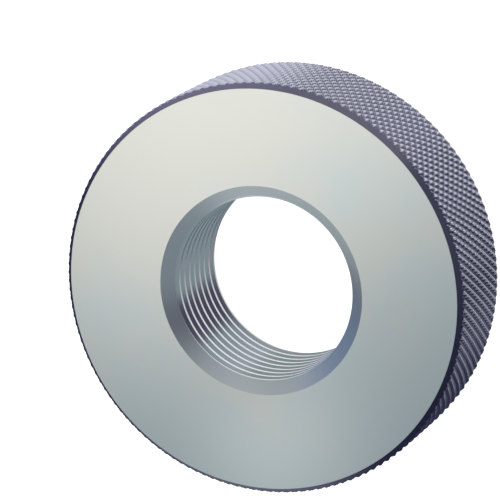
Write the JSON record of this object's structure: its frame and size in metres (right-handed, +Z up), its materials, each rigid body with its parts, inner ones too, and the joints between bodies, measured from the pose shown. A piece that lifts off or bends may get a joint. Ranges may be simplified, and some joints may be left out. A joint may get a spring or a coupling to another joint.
{
  "type": "thread ring gauge",
  "caption": "Thick knurled steel ring with flat ground faces, bevelled rims and a threaded bore, screwed over an external thread to check that it passes.",
  "frame": {"origin": "centre of the lower end face, on the axis of the bore, with the ring lying flat", "axes": "+Z up along the axis of the bore, out of the upper end face; the ring is alike all round it"},
  "size_m": [0.063, 0.063, 0.0185],
  "materials": {
    "gauge_steel": "fine ground faces, bright knurled rim"
  },
  "bodies": {
    "root": {"gauge_ring": "gauge_steel"}
  },
  "joints": []
}
